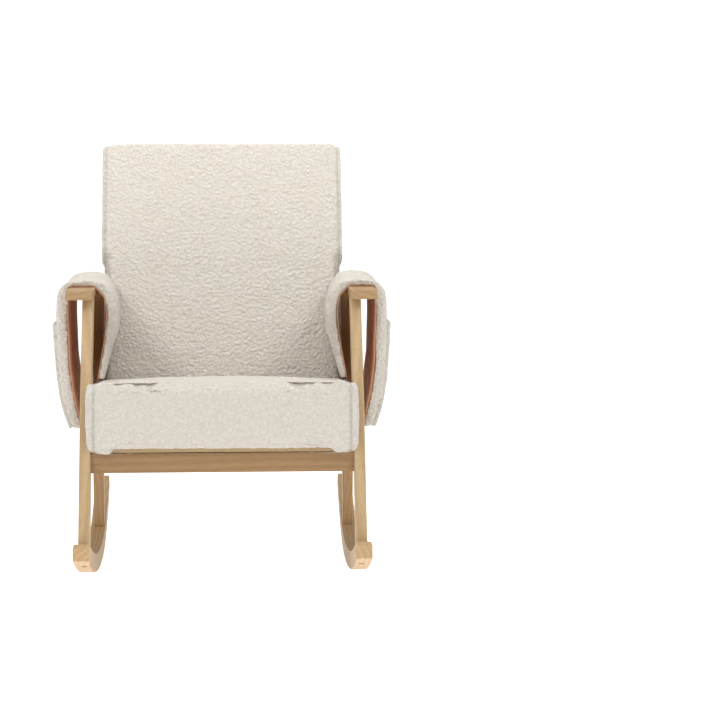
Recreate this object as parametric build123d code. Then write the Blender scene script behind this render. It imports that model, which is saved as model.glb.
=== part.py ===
from build123d import *

import math
import os

# Rocking nursery chair: two side frames on sawn runners, a boxed seat, a raked back, and a loose
# padded cover with a pocket on each armrest.
# Millimetres. The sitter faces -Y, so +X is the sitter's left, +Y the rear and +Z up. The floor is
# Z = 0 and the origin lies under the middle of the chair. Lengths called "behind" are measured
# rearwards from the front tips of the runners.

# Overall
overall_depth = 897.5
overall_height = 960.0
half_gap = 283.0          # from the middle of the chair to the inner face of a side frame
side_board = 24.0         # thickness of legs and side rails
rounding = 2.5            # softened edges of the boards

# Runners
runner_radius = 1290.0
runner_contact = 474.4    # where the arc touches the floor, behind the front tip
runner_tail_radius = 620.0
runner_tail = 520.0       # where the tighter arc of the tail begins
runner_length = 862.0
runner_height = 42.0
runner_width = 34.0
runner_overhang = 8.0     # how far a runner stands out beyond the outer face of the legs
runner_flat = 119.0       # height of the flat on the front tip
runner_rest = 80.0        # length of the flat it stands on, under the middle of the arc
runner_tip_round = 12.0

# Legs: front edge of each board, and its width along Y
front_leg_edge = [(44.0, 95.0), (168.0, 405.0), (300.0, 637.0)]
front_leg_width = 50.0
rear_leg_edge = [(625.0, 45.0), (600.0, 300.0), (727.0, 637.0)]
rear_leg_width = 50.0
leg_bend_radius = 160.0

# Armrests
armrest_width = 59.0
armrest_thick = 21.0
armrest_top = 640.5
armrest_front = 263.0     # behind the front tips
armrest_length = 515.0

# Seat
seat_tilt = 5.0
seat_front = 118.0        # behind the front tips, at the lower front edge
seat_base = 300.5         # height of that edge
seat_thick = 150.0
seat_half = half_gap - 2.0         # between the side frames
seat_wing_half = half_gap + 9.0    # in front of the legs
seat_gap = 1.5            # clear of the front legs and of the back
rail_height = 42.0
rail_thick = 24.0
rail_setback = 12.0       # front rail behind the seat's front edge
cleat_size = 20.0
cover_thick = 5.0         # fleece and its wadding
lip_thick = 2.0           # fleece turned under the frame
lip_width = 25.0
seat_board_thick = 22.0
seat_board_height = 40.0
seat_board_sheet = 12.0   # plywood under the foam
block_size = 55.0
block_height = 34.0
dust_thick = 1.0

# Back
back_recline = 23.2
back_length = 735.0
back_thick = 68.0
back_half = half_gap + 5.0         # above the armrests
back_lower_half = half_gap - 2.0   # squeezed between the side frames
back_step = 436.0         # length of the squeezed part
back_foam_depth = 22.0
back_board = 28.0
back_panel_thick = 3.0
strap_thick = 2.0
strap_width = 50.0
back_strap_count = 6
rear_rail_setback = 12.0  # behind the rear legs' front edge
rear_rail_top = 242.0

# Armrest covers: cross-section in X and Z on the +X side
cover_front = 368.0       # behind the front tips
cover_length = 312.0
# outlines out from the legs' inner faces, and up from the armrest's top
cover_outside_reach = [
    (-18.0, -206.5), (-47.0, -105.5), (-51.0, -55.5), (-43.0, -13.5), (-20.0, 12.0), (19.0, 19.5),
    (61.0, 15.0), (82.0, -4.5), (86.0, -40.5), (84.0, -120.5), (78.0, -207.5), (71.0, -252.5),
    (63.0, -286.5), (52.0, -316.5),
]
cover_inside_reach = [
    (31.0, -318.5), (42.0, -280.5), (53.0, -230.5), (60.0, -170.5), (62.5, -80.5), (61.5, 2.0),
    (1.0, 2.0), (-20.0, -20.5), (-26.0, -55.5), (-22.0, -105.5), (-4.0, -206.5),
]
outer_face_start = 8      # index in cover_outside where the outer flap's flat face begins
lining_thick = 1.5
pocket_top = 560.0
pocket_depth = 12.0
pocket_cloth = 3.5
pocket_floor = 395.0      # lowest point inside the pocket
pocket_margin = 22.0      # from the cover's ends to the pocket's sides
pocket_seam = 10.0
pocket_clear = 1.0        # how far the pocket's hollow runs past its mouth
slant_gap = 10.0          # the inner flap's rear edge is cut to stay this far off the back

# Fasteners
runner_screw_radius = 3.5
runner_screw_head = 6.5
runner_screw_head_height = 5.0
runner_counterbore_radius = 7.5
runner_counterbore_depth = 12.0
runner_screw_length = 82.0
runner_screws_behind = (62.0, 648.0)
dowel_radius = 4.0
dowel_length = 30.0
bolt_radius = 3.0
bolt_head_radius = 6.5
bolt_head_height = 4.0
rail_bolt_length = 62.0
nut_radius = 5.0
nut_length = 16.0
nut_from_end = 10.0       # bolt's end to the middle of its barrel nut
back_bolt_heights = (70.0, 215.0)
back_bolt_radius = 4.0
back_bolt_reach = 40.0    # length of a back bolt inside the squeezed side
washer_radius = 10.0
washer_thick = 1.5
armrest_dowel_shares = (0.35, 0.7)    # across the leg's width
armrest_dowel_low = 4.0               # how much more of a dowel is in the leg than in the armrest
rail_dowel_shares = (0.28, 0.72)      # down the side rail's height
rail_bolt_shares = (0.3, 0.7)         # down the rail's height
cleat_screw_shares = (0.12, 0.5, 0.88)    # along the cleat
cleat_screw_length = 34.0
seat_screw_shares = (0.22, 0.78)      # along the cleat
seat_screw_length = 44.0
seat_screw_inset = 6.0
screw_radius = 2.0
screw_head_radius = 4.0
screw_head_height = 2.5

os.makedirs("parts", exist_ok=True)

leg_outer = half_gap + side_board
cover_outside = [(half_gap + x, armrest_top + z) for x, z in cover_outside_reach]
cover_inside = [(half_gap + x, armrest_top + z) for x, z in cover_inside_reach]
runner_rest_depth = runner_radius - math.sqrt(runner_radius**2 - (runner_rest / 2)**2)
armrest_bottom = armrest_top - armrest_thick
tilt = math.radians(seat_tilt)
recline = math.radians(back_recline)


# ---- places ----

def at(behind):
    """Y of a length measured behind the runners' front tips."""
    return behind - overall_depth / 2


def seat_point(along, up):
    """Y, Z of a point in the tilted seat: along it rearwards, and up from its underside."""
    y = at(seat_front) + along * math.cos(tilt) + up * math.sin(tilt)
    z = seat_base - along * math.sin(tilt) + up * math.cos(tilt)
    return y, z


def height_in_seat(point):
    """How far a Y, Z point lies above the seat's underside."""
    y = point[0] - at(seat_front)
    z = point[1] - seat_base
    return y * math.sin(tilt) + z * math.cos(tilt)


def back_point(up, deep):
    """Y, Z of a point in the raked back: up from its foot, and deep from its front face."""
    top_y = overall_depth / 2 - back_thick * math.cos(recline)
    foot_y = top_y - back_length * math.sin(recline)
    foot_z = overall_height - back_length * math.cos(recline)
    y = foot_y + up * math.sin(recline) + deep * math.cos(recline)
    z = foot_z + up * math.cos(recline) - deep * math.sin(recline)
    return y, z


def seat_end(up, clear):
    """Y, Z where the seat's rear stops, clear of the back's front face."""
    start = height_in_seat(back_point(0, -clear))
    climb = (up - start) / math.cos(recline - tilt)
    return back_point(climb, -clear)


def runner_arc(behind, inset):
    """Z of the runner's underside, or of a curve inset above it, and how far it leans."""
    lean = math.asin((runner_tail - runner_contact) / runner_radius)
    if behind <= runner_tail - inset * math.sin(lean):
        radius = runner_radius
        centre = (runner_contact, runner_radius - runner_rest_depth)
    else:
        radius = runner_tail_radius
        shift = runner_radius - runner_tail_radius
        centre_z = runner_radius - runner_rest_depth - shift * math.cos(lean)
        centre = (runner_contact + shift * math.sin(lean), centre_z)
    reach = behind - centre[0]
    z = centre[1] - math.sqrt((radius - inset)**2 - reach**2)
    return z, math.asin(reach / (radius - inset))


def on_line(points, z):
    """Y where a broken line of (behind, Z) points passes the height z."""
    for (y0, z0), (y1, z1) in zip(points, points[1:]):
        if z0 <= z <= z1:
            return at(y0 + (y1 - y0) * (z - z0) / (z1 - z0))
    raise ValueError("height outside the leg")


# ---- shapes ----

def slab(points, x0, x1, corner=0.0, corners=None):
    """A board with its outline in Y and Z, between two X positions."""
    face = make_face(Polyline(*[(x0, y, z) for y, z in points], close=True))
    if corner:
        rounded = face.vertices()
        if corners:
            rounded = [v for v in rounded if any(math.dist((v.Y, v.Z), c) < 0.01 for c in corners)]
        face = fillet(rounded, corner)
    return extrude(face, amount=x1 - x0, dir=(1, 0, 0))


def strip(points, y0, y1):
    """A length of a cross-section drawn in X and Z."""
    face = make_face(Polyline(*[(x, y0, z) for x, z in points], close=True))
    return extrude(face, amount=y1 - y0, dir=(0, 1, 0))


def rod(start, direction, radius, length):
    """A round bar from a start point."""
    return extrude(Plane(start, z_dir=direction) * Circle(radius), amount=length)


def softened(solid):
    return fillet(solid.edges(), rounding)


def parallel(points, gap):
    """The same broken line moved sideways, to the left of its direction."""
    moved = []
    for i, (x, z) in enumerate(points):
        x0, z0 = points[max(i - 1, 0)]
        x1, z1 = points[min(i + 1, len(points) - 1)]
        length = math.hypot(x1 - x0, z1 - z0)
        moved.append((x - gap * (z1 - z0) / length, z + gap * (x1 - x0) / length))
    return moved


def mirrored(solid):
    return mirror(solid, about=Plane.YZ)


def both(solids):
    """Solids on the +X side together with their mirror images."""
    return list(solids) + [mirrored(s) for s in solids]


def cut(solid, tools):
    for tool in tools:
        solid = solid - tool
    return solid


def write(name, *solids):
    flat = [s for piece in solids for s in piece.solids()]
    shape = flat[0] if len(flat) == 1 else Compound(children=flat)
    shape.label = name
    export_step(shape, f"parts/{name}.step")


def write_pair(name, *solids):
    write(f"left_{name}", *solids)
    write(f"right_{name}", *[mirrored(s) for s in solids])


# ---- fastener positions and shapes, on the +X side ----

def runner_screw_axis(behind):
    """Start on the runner's underside, and the direction square to its arc."""
    z, lean = runner_arc(behind, 0)
    start = (half_gap + side_board / 2, at(behind), z)
    return start, (0, -math.sin(lean), math.cos(lean))


def along(start, direction, distance):
    return tuple(s + d * distance for s, d in zip(start, direction))


def runner_screws():
    screws = []
    for behind in runner_screws_behind:
        start, up = runner_screw_axis(behind)
        head = along(start, up, runner_counterbore_depth - runner_screw_head_height)
        shank = along(start, up, runner_counterbore_depth)
        screw = rod(head, up, runner_screw_head, runner_screw_head_height)
        screws.append(screw + rod(shank, up, runner_screw_radius, runner_screw_length))
    return screws


def runner_holes():
    holes = []
    for behind in runner_screws_behind:
        start, up = runner_screw_axis(behind)
        low = along(start, up, -2 * runner_counterbore_depth)
        holes.append(rod(low, up, runner_counterbore_radius, 3 * runner_counterbore_depth))
        shank = along(start, up, runner_counterbore_depth)
        holes.append(rod(shank, up, runner_screw_radius, runner_screw_length))
    return holes


def armrest_dowels():
    """Two dowels up into the armrest from the top of each leg."""
    dowels = []
    half = dowel_length / 2
    for edge, width in ((front_leg_edge, front_leg_width), (rear_leg_edge, rear_leg_width)):
        top = on_line(edge, armrest_bottom)
        for share in armrest_dowel_shares:
            start = (half_gap + side_board / 2, top + width * share,
                     armrest_bottom - half - armrest_dowel_low)
            dowels.append(rod(start, (0, 0, 1), dowel_radius, dowel_length))
    return dowels


def side_rail_dowels():
    """Two dowels through each end joint of a side rail."""
    dowels = []
    for share in rail_dowel_shares:
        up = -rail_height * share
        y, z = seat_point(0, up)
        front = on_line(front_leg_edge, z) + front_leg_width
        rear = on_line(rear_leg_edge, z - (rear_leg_edge[1][0] - seat_front) * math.tan(tilt))
        for joint in (front, rear):
            middle = (joint - y) / math.cos(tilt)
            y0, z0 = seat_point(middle - dowel_length / 2, up)
            start = (half_gap + side_board / 2, y0, z0)
            dowels.append(rod(start, (0, math.cos(tilt), -math.sin(tilt)), dowel_radius, dowel_length))
    return dowels


def rail_bolt_places():
    """Y, Z of the bolts through the legs into the ends of the front and rear rails."""
    middle = rail_setback + rail_thick / 2
    places = [seat_point(middle, -rail_height * share) for share in rail_bolt_shares]
    rear = on_line(rear_leg_edge, rear_rail_top) + rear_rail_setback + rail_thick / 2
    places += [(rear, rear_rail_top - rail_height * share) for share in rail_bolt_shares]
    return places


def rail_bolts():
    bolts = []
    for y, z in rail_bolt_places():
        head = rod((leg_outer, y, z), (-1, 0, 0), bolt_head_radius, bolt_head_height)
        bolts.append(head + rod((leg_outer, y, z), (-1, 0, 0), bolt_radius, rail_bolt_length))
    return bolts


def rail_nuts():
    """Barrel nuts across the rails, each round a bolt's end."""
    nuts = []
    x = leg_outer - rail_bolt_length + nut_from_end
    for y, z in rail_bolt_places():
        nut = rod((x, y - nut_length / 2, z), (0, 1, 0), nut_radius, nut_length)
        nuts.append(nut - rod((leg_outer, y, z), (-1, 0, 0), bolt_radius, rail_bolt_length))
    return nuts


def rail_bores(places, inward):
    """Bores for the bolts and their barrel nuts, the nuts' open on the rail's inner face."""
    bores = []
    x = leg_outer - rail_bolt_length + nut_from_end
    for y, z in places:
        bores.append(rod((leg_outer, y, z), (-1, 0, 0), bolt_radius, rail_bolt_length))
        start = (x, y - inward * nut_length / 2, z)
        bores.append(rod(start, (0, inward, 0), nut_radius, nut_length / 2 + rail_thick))
    return both(bores)


def back_bolt_places():
    middle = cover_thick + back_foam_depth + strap_thick + back_board / 2
    return [back_point(up, middle) for up in back_bolt_heights]


def back_bolts():
    bolts = []
    for y, z in back_bolt_places():
        outer = leg_outer + washer_thick
        head = rod((outer, y, z), (1, 0, 0), bolt_head_radius, bolt_head_height)
        length = outer - back_lower_half + back_bolt_reach
        bolts.append(head + rod((outer, y, z), (-1, 0, 0), back_bolt_radius, length))
    return bolts


def back_washers():
    washers = []
    for y, z in back_bolt_places():
        ring = rod((leg_outer, y, z), (1, 0, 0), washer_radius, washer_thick)
        washers.append(ring - rod((leg_outer, y, z), (1, 0, 0), back_bolt_radius, washer_thick))
    return washers


def headed_screw(start, direction, length):
    head = rod(start, direction, screw_head_radius, screw_head_height)
    return head + rod(start, direction, screw_radius, length)


def cleat_screws():
    """Screws through a cleat into its side rail."""
    screws = []
    for share in cleat_screw_shares:
        y, z = seat_point(cleat_start() + (cleat_end() - cleat_start()) * share, -cleat_size / 2)
        screws.append(headed_screw((half_gap - cleat_size, y, z), (1, 0, 0), cleat_screw_length))
    return screws


def seat_screws():
    """Screws up through a cleat into the seat frame."""
    screws = []
    x = seat_half - cover_thick - seat_screw_inset
    for share in seat_screw_shares:
        y, z = seat_point(cleat_start() + (cleat_end() - cleat_start()) * share, -cleat_size)
        up = (0, math.sin(tilt), math.cos(tilt))
        screws.append(headed_screw((x, y, z), up, seat_screw_length))
    return screws


# ---- side frames ----

def runner():
    inner = runner_radius - runner_height
    flat_reach = math.sqrt(inner**2 - (runner_radius - runner_rest_depth - runner_flat)**2)
    flat_end = runner_contact - flat_reach
    x0 = leg_outer + runner_overhang - runner_width

    def place(behind, inset):
        z, lean = runner_arc(behind, 0)
        return x0, at(behind) - inset * math.sin(lean), z + inset * math.cos(lean)

    def arc(start, end, inset):
        """An arc parallel to the underside, between two places along it."""
        return ThreePointArc(place(start, inset), place((start + end) / 2, inset), place(end, inset))

    flat_start = flat_end - runner_height * (runner_contact - flat_end) / inner
    front = (x0, at(0), runner_flat)
    edges = [
        arc(0, runner_tail, 0),
        arc(runner_tail, runner_length, 0),
        Line(place(runner_length, 0), place(runner_length, runner_height)),
        arc(runner_length, runner_tail, runner_height),
        arc(runner_tail, flat_start, runner_height),
        Line(place(flat_start, runner_height), front),
        Line(front, place(0, 0)),
    ]
    face = make_face(edges)
    tips = [v for v in face.vertices() if v.Y > at(runner_length - runner_height)]
    face = fillet(tips, runner_tip_round)
    block = extrude(face, amount=runner_width, dir=(1, 0, 0))
    below = Pos(0, 0, -runner_height) * Box(4 * half_gap, 2 * overall_depth, 2 * runner_height)
    return softened(block - below)


def leg(edge, width):
    """A bent board, long enough to be trimmed at both ends."""
    front = [(at(y), z) for y, z in edge]
    rear = [(y + width, z) for y, z in reversed(front)]
    bends = [front[1], rear[1]]
    return softened(slab(front + rear, half_gap, leg_outer, leg_bend_radius, bends))


def trimmed_leg(edge, width, runner_block):
    above = Pos(0, 0, armrest_bottom + armrest_thick) * Box(
        4 * half_gap, 2 * overall_depth, 2 * armrest_thick)
    return leg(edge, width) - above - runner_block


def armrest():
    middle = (half_gap + armrest_width / 2, at(armrest_front + armrest_length / 2),
              armrest_top - armrest_thick / 2)
    return softened(Pos(*middle) * Box(armrest_width, armrest_length, armrest_thick))


def side_rail(legs):
    """A tilted board between the two legs of a side frame, cut to meet them."""
    reach = rear_leg_edge[0][0] - seat_front
    outline = [seat_point(0, 0), seat_point(reach, 0), seat_point(reach, -rail_height),
               seat_point(0, -rail_height)]
    board = cut(softened(slab(outline, half_gap, leg_outer)), legs)
    return max(board.solids(), key=lambda s: s.volume)


def side_frames():
    block = runner()
    front = trimmed_leg(front_leg_edge, front_leg_width, block)
    rear = trimmed_leg(rear_leg_edge, rear_leg_width, block)
    rail = side_rail([front, rear])
    sideways = []
    for y, z in rail_bolt_places():
        sideways.append(rod((leg_outer + 1, y, z), (-1, 0, 0), bolt_head_radius, bolt_head_height + 1))
        sideways.append(rod((leg_outer, y, z), (-1, 0, 0), bolt_radius, rail_bolt_length))
    for y, z in back_bolt_places():
        sideways.append(rod((leg_outer + 1, y, z), (-1, 0, 0), back_bolt_radius, side_board + 2))
    holes = runner_holes() + armrest_dowels() + side_rail_dowels() + sideways
    write_pair("runner", cut(block, runner_holes()))
    write_pair("front_leg", cut(front, holes))
    write_pair("rear_leg", cut(rear, holes))
    write_pair("side_rail", cut(rail, side_rail_dowels() + cleat_screws()))
    write_pair("armrest", cut(armrest(), armrest_dowels()))


# ---- rails under the seat ----

def cleat_start():
    return rail_setback + rail_thick


def cleat_end():
    return (seat_end(0, seat_gap)[0] - at(seat_front)) / math.cos(tilt) - rail_thick


def rails():
    front_outline = [seat_point(rail_setback, 0), seat_point(cleat_start(), 0),
                     seat_point(cleat_start(), -rail_height), seat_point(rail_setback, -rail_height)]
    front = slab(front_outline, -half_gap, half_gap)
    y0 = on_line(rear_leg_edge, rear_rail_top) + rear_rail_setback
    rear_outline = [(y0, rear_rail_top), (y0 + rail_thick, rear_rail_top),
                    (y0 + rail_thick, rear_rail_top - rail_height), (y0, rear_rail_top - rail_height)]
    rear = slab(rear_outline, -half_gap, half_gap)
    places = rail_bolt_places()
    write("front_rail", cut(front, rail_bores(places[:2], 1)))
    write("rear_rail", cut(rear, rail_bores(places[2:], -1)))

    outline = [seat_point(cleat_start(), 0), seat_point(cleat_end(), 0),
               seat_point(cleat_end(), -cleat_size), seat_point(cleat_start(), -cleat_size)]
    cleat = slab(outline, half_gap - cleat_size, half_gap)
    write_pair("seat_cleat", cut(cleat, cleat_screws() + seat_screws()))


# ---- seat ----

def seat_outline(inset, base):
    """Side view of the seat, drawn in by an inset, from a base height."""
    top = seat_thick - inset
    clear = seat_gap + inset
    return [seat_point(inset, base), seat_point(inset, top), seat_end(top, clear),
            seat_end(base, clear)]


def leg_room(inset):
    """The space beside the seat that belongs to the side frames."""
    front = [(at(y) - seat_gap - inset, z) for y, z in front_leg_edge]
    rear = [(overall_depth, front[-1][1]), (overall_depth, front[0][1])]
    return slab(front + rear, seat_half - inset, 2 * seat_half)


def seat_block(inset, base):
    """The seat's outer form: narrow between the legs, wide in front of them."""
    half = seat_wing_half - inset
    block = slab(seat_outline(inset, base), -half, half)
    return cut(block, both([leg_room(inset)]))


def seat_frame():
    """Four boards and four corner blocks, screwed up into one frame."""
    half = seat_half - cover_thick
    front = cover_thick + 1
    rear = (seat_end(lip_thick, seat_gap + cover_thick)[0] - at(seat_front)) / math.cos(tilt) - 1
    low = lip_thick
    high = lip_thick + seat_board_height

    def board(start, end, x0, x1, top=high):
        outline = [seat_point(start, low), seat_point(end, low), seat_point(end, top),
                   seat_point(start, top)]
        return slab(outline, x0, x1)

    inner = half - seat_board_thick
    write("seat_frame_front", board(front, front + seat_board_thick, -half, half))
    write("seat_frame_rear", board(rear - seat_board_thick, rear, -half, half))
    side = board(front + seat_board_thick, rear - seat_board_thick, inner, half)
    write_pair("seat_frame_side", cut(side, seat_screws()))

    ends = (front + seat_board_thick, rear - seat_board_thick)
    blocks = []
    for end, step in zip(ends, (block_size, -block_size)):
        flat = [(inner, end), (inner, end + step), (inner - block_size, end)]
        corner = [(x, *seat_point(v, low)) for x, v in flat]
        up = (0, math.sin(tilt), math.cos(tilt))
        blocks.append(extrude(make_face(Polyline(*corner, close=True)), amount=block_height, dir=up))
    write("seat_corner_blocks", *both(blocks))

    sheet = high + seat_board_sheet
    outline = [seat_point(front, high), seat_point(rear, high), seat_point(rear, sheet),
               seat_point(front, sheet)]
    write("seat_board", slab(outline, -half, half))
    return sheet


def seat():
    foam_base = seat_frame()
    cavity = seat_block(cover_thick, lip_thick)
    mouth = seat_block(cover_thick + lip_width, -1)
    screws = both(seat_screws())
    write("seat_cover", cut(seat_block(0, 0) - cavity - mouth, screws))
    write("seat_foam", seat_block(cover_thick, foam_base))
    reach = (cleat_end() + cleat_start()) / 2
    half_depth = (cleat_end() - cleat_start()) / 2 - 2
    outline = [seat_point(reach - half_depth, 0), seat_point(reach + half_depth, 0),
               seat_point(reach + half_depth, -dust_thick), seat_point(reach - half_depth, -dust_thick)]
    half = half_gap - cleat_size - 2
    write("seat_dust_cover", slab(outline, -half, half))


# ---- back ----

def back_slab(low, high, front, rear, half):
    outline = [back_point(low, front), back_point(high, front), back_point(high, rear),
               back_point(low, rear)]
    return slab(outline, -half, half)


def back_block(inset, rear):
    """The back's outer form: squeezed between the side frames, full width above them."""
    lower = back_slab(inset, back_length - inset, inset, rear, back_lower_half - inset)
    upper = back_slab(back_step + inset, back_length - inset, inset, rear, back_half - inset)
    return lower + upper


def back():
    frame_front = cover_thick + back_foam_depth + strap_thick
    frame_rear = back_thick - back_panel_thick
    half = back_lower_half - cover_thick
    low = cover_thick
    high = back_length - cover_thick
    inner = half - back_board
    holes = both([rod((leg_outer, y, z), (-1, 0, 0), back_bolt_radius,
                      leg_outer - back_lower_half + back_bolt_reach) for y, z in back_bolt_places()])

    def rail(start):
        return back_slab(start, start + back_board, frame_front, frame_rear, inner)

    post_outline = [back_point(low, frame_front), back_point(high, frame_front),
                    back_point(high, frame_rear), back_point(low, frame_rear)]
    post = slab(post_outline, inner, half)
    write_pair("back_post", cut(post, holes[:len(back_bolt_heights)]))
    write("back_frame_bottom", rail(low))
    write("back_frame_middle", rail(back_step - back_board / 2))
    write("back_frame_top", rail(high - back_board))

    straps = []
    pitch = (high - low) / back_strap_count
    for i in range(back_strap_count):
        middle = low + pitch * (i + 0.5)
        straps.append(back_slab(middle - strap_width / 2, middle + strap_width / 2,
                                frame_front - strap_thick, frame_front, half))
    write("back_webbing", *straps)

    cavity = back_block(cover_thick, back_thick + 1)
    skin = back_block(0, back_thick - back_panel_thick) - cavity
    write("back_cover", cut(skin, holes))
    frame_room = back_slab(0, back_length, cover_thick + back_foam_depth, back_thick + 1, half)
    foam = back_block(cover_thick, frame_rear) - frame_room
    write("back_foam", foam)
    panel = back_block(0, back_thick) - back_slab(-1, back_length + 1, -1, frame_rear, 2 * back_half)
    write("back_rear_panel", panel)


# ---- armrest covers ----

def slant_room():
    """Everything behind a plane in front of the back, for the inner flap's rear edge."""
    low = back_point(0, -slant_gap)
    high = back_point(back_length, -slant_gap)
    outline = [low, high, (overall_depth, high[1]), (overall_depth, low[1])]
    return slab(outline, 0, half_gap)


def pocket(y0, y1):
    """A patch pocket on the outer flap: cloth on the outside, sewn down at its sides and foot."""
    face = [(x, z) for x, z in cover_outside[outer_face_start:]]
    top = face[1][0] + (face[0][0] - face[1][0]) * (pocket_top - face[1][1]) / (face[0][1] - face[1][1])
    face = [(top, pocket_top)] + face[1:]
    outer = parallel(face, pocket_depth)
    outer[0] = (face[0][0] + pocket_depth, pocket_top)
    cloth = parallel(face, pocket_depth - pocket_cloth)
    cloth[0] = (face[0][0] + pocket_depth - pocket_cloth, pocket_top + 1)
    room = [(face[0][0], pocket_top + pocket_clear)] + face[1:]
    body = strip(face + list(reversed(outer)), y0, y1)
    hollow = strip(room + list(reversed(cloth)), y0 + pocket_seam, y1 - pocket_seam)
    above = Pos(face[0][0], (y0 + y1) / 2, pocket_floor + overall_height / 2) * Box(
        4 * armrest_width, 2 * (y1 - y0), overall_height)
    return body - (hollow & above)


def armrest_covers():
    y0 = at(cover_front)
    y1 = y0 + cover_length
    pad = strip(cover_outside + cover_inside, y0, y1) - slant_room()
    lining = parallel(cover_inside, lining_thick)
    lining_strip = strip(cover_inside + list(reversed(lining)), y0, y1) - slant_room()
    write_pair("cover_pad", pad)
    write_pair("cover_lining", lining_strip)
    write_pair("cover_pocket", pocket(y0 + pocket_margin, y1 - pocket_margin))


# ---- fasteners ----

def fasteners():
    write("runner_screws", *both(runner_screws()))
    write("armrest_dowels", *both(armrest_dowels()))
    write("side_rail_dowels", *both(side_rail_dowels()))
    write("rail_bolts", *both(rail_bolts()))
    write("rail_barrel_nuts", *both(rail_nuts()))
    write("back_bolts", *both(back_bolts()))
    write("back_washers", *both(back_washers()))
    write("cleat_screws", *both(cleat_screws()))
    write("seat_screws", *both(seat_screws()))


side_frames()
rails()
seat()
back()
armrest_covers()
fasteners()
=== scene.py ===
"""Looks of a rocking nursery chair: fleece cushions, armrest covers, bare wood and hardware.

Laid out as an add-on and run as a script. Metres throughout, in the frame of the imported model.
"""

import math

import bmesh
import bpy
import numpy as np
from mathutils import Euler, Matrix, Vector, noise


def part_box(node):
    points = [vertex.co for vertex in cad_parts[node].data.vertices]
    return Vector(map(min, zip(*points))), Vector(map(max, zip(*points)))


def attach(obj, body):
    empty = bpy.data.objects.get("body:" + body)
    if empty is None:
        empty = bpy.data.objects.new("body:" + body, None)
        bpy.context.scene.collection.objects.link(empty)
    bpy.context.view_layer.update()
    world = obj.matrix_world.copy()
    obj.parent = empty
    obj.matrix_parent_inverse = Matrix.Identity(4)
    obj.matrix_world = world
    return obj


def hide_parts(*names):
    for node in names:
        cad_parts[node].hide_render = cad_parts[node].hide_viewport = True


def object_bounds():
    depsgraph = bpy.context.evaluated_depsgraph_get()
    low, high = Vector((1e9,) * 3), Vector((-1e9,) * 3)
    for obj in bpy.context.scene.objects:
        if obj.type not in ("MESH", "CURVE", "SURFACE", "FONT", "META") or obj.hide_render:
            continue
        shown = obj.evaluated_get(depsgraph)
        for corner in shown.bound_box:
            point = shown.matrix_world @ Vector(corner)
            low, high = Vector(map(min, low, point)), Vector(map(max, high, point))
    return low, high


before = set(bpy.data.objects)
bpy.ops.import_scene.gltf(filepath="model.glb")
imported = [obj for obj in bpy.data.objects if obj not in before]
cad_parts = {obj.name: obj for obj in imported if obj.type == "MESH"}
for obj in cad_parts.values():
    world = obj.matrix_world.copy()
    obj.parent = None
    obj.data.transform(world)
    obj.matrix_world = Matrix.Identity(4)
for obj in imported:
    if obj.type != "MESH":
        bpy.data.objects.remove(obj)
CAD_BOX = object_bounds()

bl_info = {
    "name": "Rocking nursery chair",
    "version": (1, 0, 0),
    "blender": (4, 5, 0),
    "location": "View3D > Sidebar > Chair",
    "description": "Cushions, covers, wood and hardware of a rocking nursery chair",
    "category": "Object",
}

SIDES = {"left": 1, "right": -1}
CHAIR = "chair"
LEG_BEND_HEIGHT = 0.405     # where a front leg's front edge bends
LEG_SLOPES = (0.43, 0.57)   # how far a front leg leans back per metre, below and above the bend
LEG_LOOK = 0.06             # how far above and below a height the leg's mesh is looked at
LEG_CLEARANCE = 0.003       # between a front leg and the seat's wing
SIDE_CLEARANCE = 0.002      # between a front leg and the seat's side


# ---- settings ----

class FleeceSettings(bpy.types.PropertyGroup):
    colour: bpy.props.FloatVectorProperty(
        name="Colour", description="Colour of the fleece's tips", subtype="COLOR",
        size=3, min=0, max=1, default=(0.74, 0.695, 0.625))
    # painted shade: this colour is painted into the hollows between the curls, where the pile shades
    # itself
    shade: bpy.props.FloatVectorProperty(
        name="Shade", description="Colour between the curls", subtype="COLOR",
        size=3, min=0, max=1, default=(0.60, 0.54, 0.465))
    curl: bpy.props.FloatProperty(
        name="Curl", description="Width of one curl", default=0.0075, unit="LENGTH")
    pile: bpy.props.FloatProperty(
        name="Pile", description="Height of the curls", default=0.0022, unit="LENGTH")


class CushionSettings(bpy.types.PropertyGroup):
    voxel: bpy.props.FloatProperty(
        name="Voxel", description="Grid of a cushion before it swells", default=0.006, unit="LENGTH")
    slack: bpy.props.FloatProperty(
        name="Slack", description="How much smaller a cushion starts", default=0.006, unit="LENGTH")
    pressure: bpy.props.FloatProperty(
        name="Pressure", description="Pressure of the filling", default=4.0)
    seam_width: bpy.props.FloatProperty(
        name="Seam width", description="Half width of a seam's valley", default=0.0045, unit="LENGTH")
    seam_depth: bpy.props.FloatProperty(
        name="Seam depth", description="Depth of a seam's valley", default=0.0042, unit="LENGTH")
    seat_seam: bpy.props.FloatProperty(
        name="Seat seam", description="Seat's side seams from the middle", default=0.2765,
        unit="LENGTH")
    back_seam: bpy.props.FloatProperty(
        name="Back seam", description="Back's side seams from the middle", default=0.2795,
        unit="LENGTH")


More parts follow.
